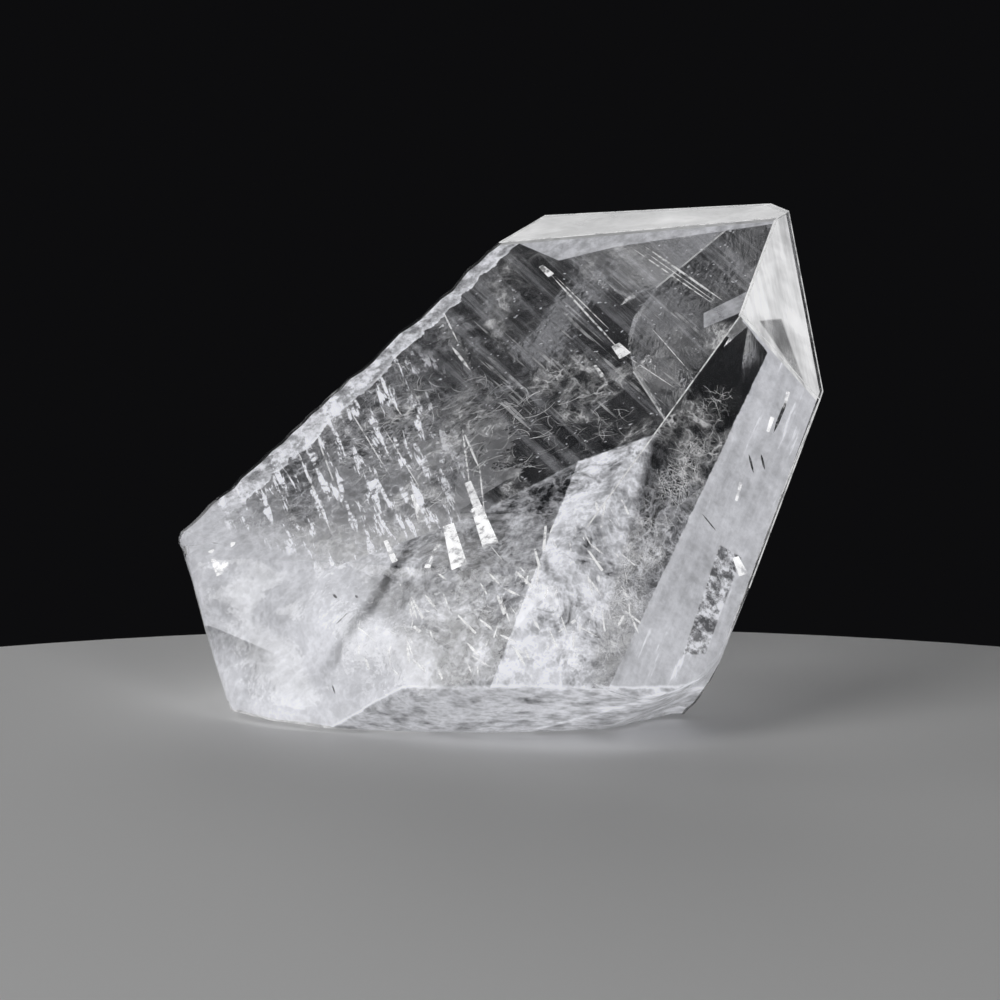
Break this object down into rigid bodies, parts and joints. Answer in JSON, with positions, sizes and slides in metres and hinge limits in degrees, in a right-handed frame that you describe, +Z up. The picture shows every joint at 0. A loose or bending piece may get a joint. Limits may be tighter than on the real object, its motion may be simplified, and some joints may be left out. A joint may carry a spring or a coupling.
{
  "type": "quartz crystal",
  "caption": "Clear quartz crystal, a stubby single point with flat prism and tip faces and a broken, milky foot on which it lies",
  "frame": {"origin": "middle of the crystal's footprint on the surface it lies on, at that surface", "axes": "+Z up; +X along the longest extent, from the broken foot toward the tip; +Y away from the viewer, the way the tip leans"},
  "size_m": [0.0806, 0.0768, 0.0579],
  "materials": {
    "clear_quartz": "polished natural faces, milky broken foot"
  },
  "bodies": {
    "root": {"quartz_crystal": "clear_quartz"}
  },
  "joints": []
}
